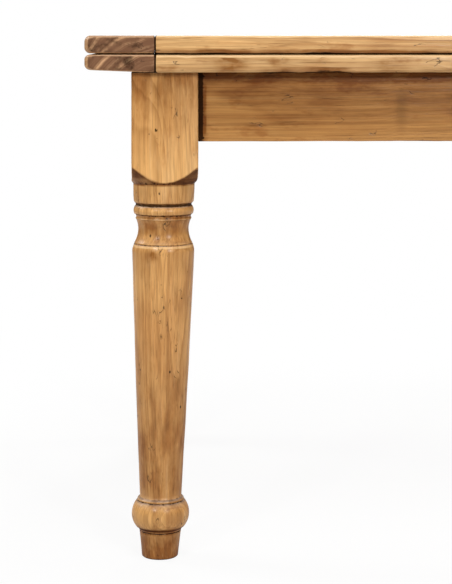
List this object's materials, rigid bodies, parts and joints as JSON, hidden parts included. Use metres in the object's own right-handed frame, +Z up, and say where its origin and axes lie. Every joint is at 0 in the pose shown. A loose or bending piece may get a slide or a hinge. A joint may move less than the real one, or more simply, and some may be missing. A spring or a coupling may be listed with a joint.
{
  "type": "extendable dining table",
  "caption": "Draw-leaf dining table in waxed pine: a fixed breadboard-ended top over two sliding leaves, on a mortised apron frame with turned legs.",
  "frame": {"origin": "on the floor under the middle of the top, with both leaves closed", "axes": "+X along the table to its right end, -Y towards the front, +Z up"},
  "size_m": [1.6, 0.9, 0.77],
  "materials": {
    "field_boards": "waxed honey pine, satin, with worn and darkened edges",
    "end_boards": "waxed pine end grain, dark brown, satin",
    "legs": "turned and waxed pine, satin, dark wax in the grooves",
    "aprons": "waxed amber pine, satin",
    "inner_frame": "bare planed pine",
    "bearers": "planed pine, lightly waxed where it slides"
  },
  "bodies": {
    "base": {"leg_front_left": "legs", "leg_front_right": "legs", "leg_back_right": "legs", "leg_back_left": "legs", "corner_brace_front_left": "inner_frame", "corner_brace_front_right": "inner_frame", "corner_brace_back_right": "inner_frame", "corner_brace_back_left": "inner_frame", "front_apron": "aprons", "back_apron": "aprons", "left_apron": "aprons", "right_apron": "aprons", "left_cross_rail": "inner_frame", "right_cross_rail": "inner_frame", "centre_board": "field_boards", "left_peg": "inner_frame", "right_peg": "inner_frame", "top_board_1": "field_boards", "top_board_2": "field_boards", "top_board_3": "field_boards", "top_board_4": "field_boards", "top_board_5": "field_boards", "top_end_left": "end_boards", "top_end_right": "end_boards"},
    "left_leaf": {"left_leaf_board_1": "field_boards", "left_leaf_board_2": "field_boards", "left_leaf_board_3": "field_boards", "left_leaf_board_4": "field_boards", "left_leaf_board_5": "field_boards", "left_leaf_end": "end_boards", "left_front_bearer": "bearers", "left_back_bearer": "bearers", "left_front_stop": "inner_frame", "left_back_stop": "inner_frame"},
    "right_leaf": {"right_leaf_board_1": "field_boards", "right_leaf_board_2": "field_boards", "right_leaf_board_3": "field_boards", "right_leaf_board_4": "field_boards", "right_leaf_board_5": "field_boards", "right_leaf_end": "end_boards", "right_front_bearer": "bearers", "right_back_bearer": "bearers", "right_front_stop": "inner_frame", "right_back_stop": "inner_frame"}
  },
  "joints": [
    {"name": "left_leaf_draw", "type": "slide", "parent": "base", "child": "left_leaf", "axis": [-1, 0, 0], "range_m": [0, 0.45]},
    {"name": "right_leaf_draw", "type": "slide", "parent": "base", "child": "right_leaf", "axis": [1, 0, 0], "range_m": [0, 0.45]}
  ]
}
